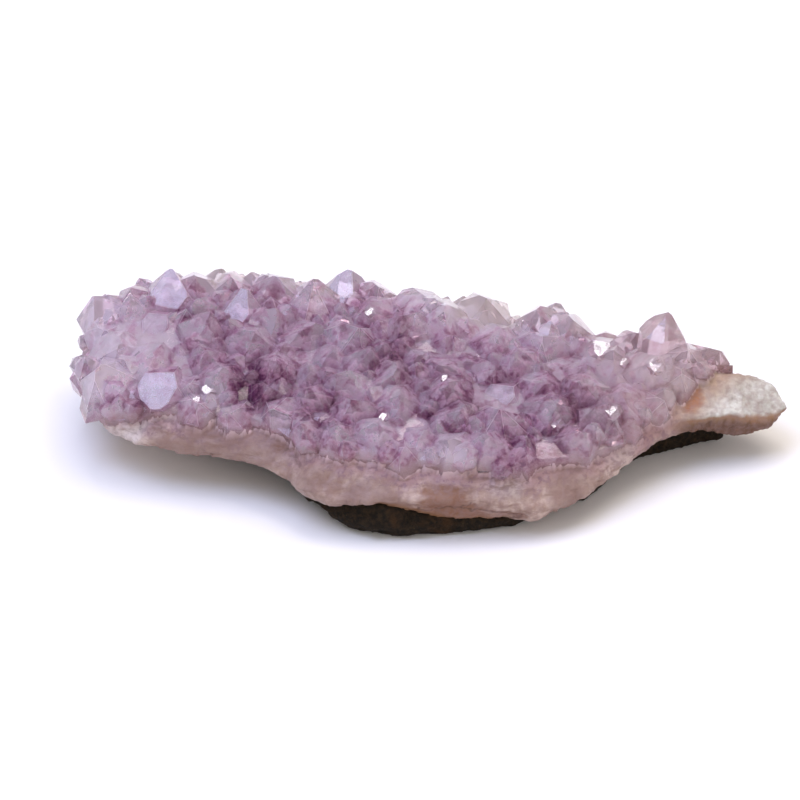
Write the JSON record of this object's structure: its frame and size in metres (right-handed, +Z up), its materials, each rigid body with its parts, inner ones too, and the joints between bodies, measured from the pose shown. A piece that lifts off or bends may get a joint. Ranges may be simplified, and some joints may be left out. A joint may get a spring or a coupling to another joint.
{
  "type": "amethyst cluster",
  "caption": "Rough amethyst plate: a bed of pointed purple quartz crystals on a band of white quartz, with dark basalt left on its underside.",
  "frame": {"origin": "on the flat worn underside of the basalt, below the middle of the plate", "axes": "+X along the plate towards its thin bare tail, -Y to the front where the white band shows, +Z up out of the crystal bed"},
  "size_m": [0.1313, 0.0624, 0.0254],
  "materials": {
    "amethyst": "glossy natural crystal faces, see-through pale purple with milky veils",
    "white_quartz": "waxy broken surface, stained orange-brown in places",
    "basalt": "dull, rough and fine-grained"
  },
  "bodies": {
    "root": {"amethyst_crystals": "amethyst", "white_quartz": "white_quartz", "basalt_matrix": "basalt"}
  },
  "joints": []
}
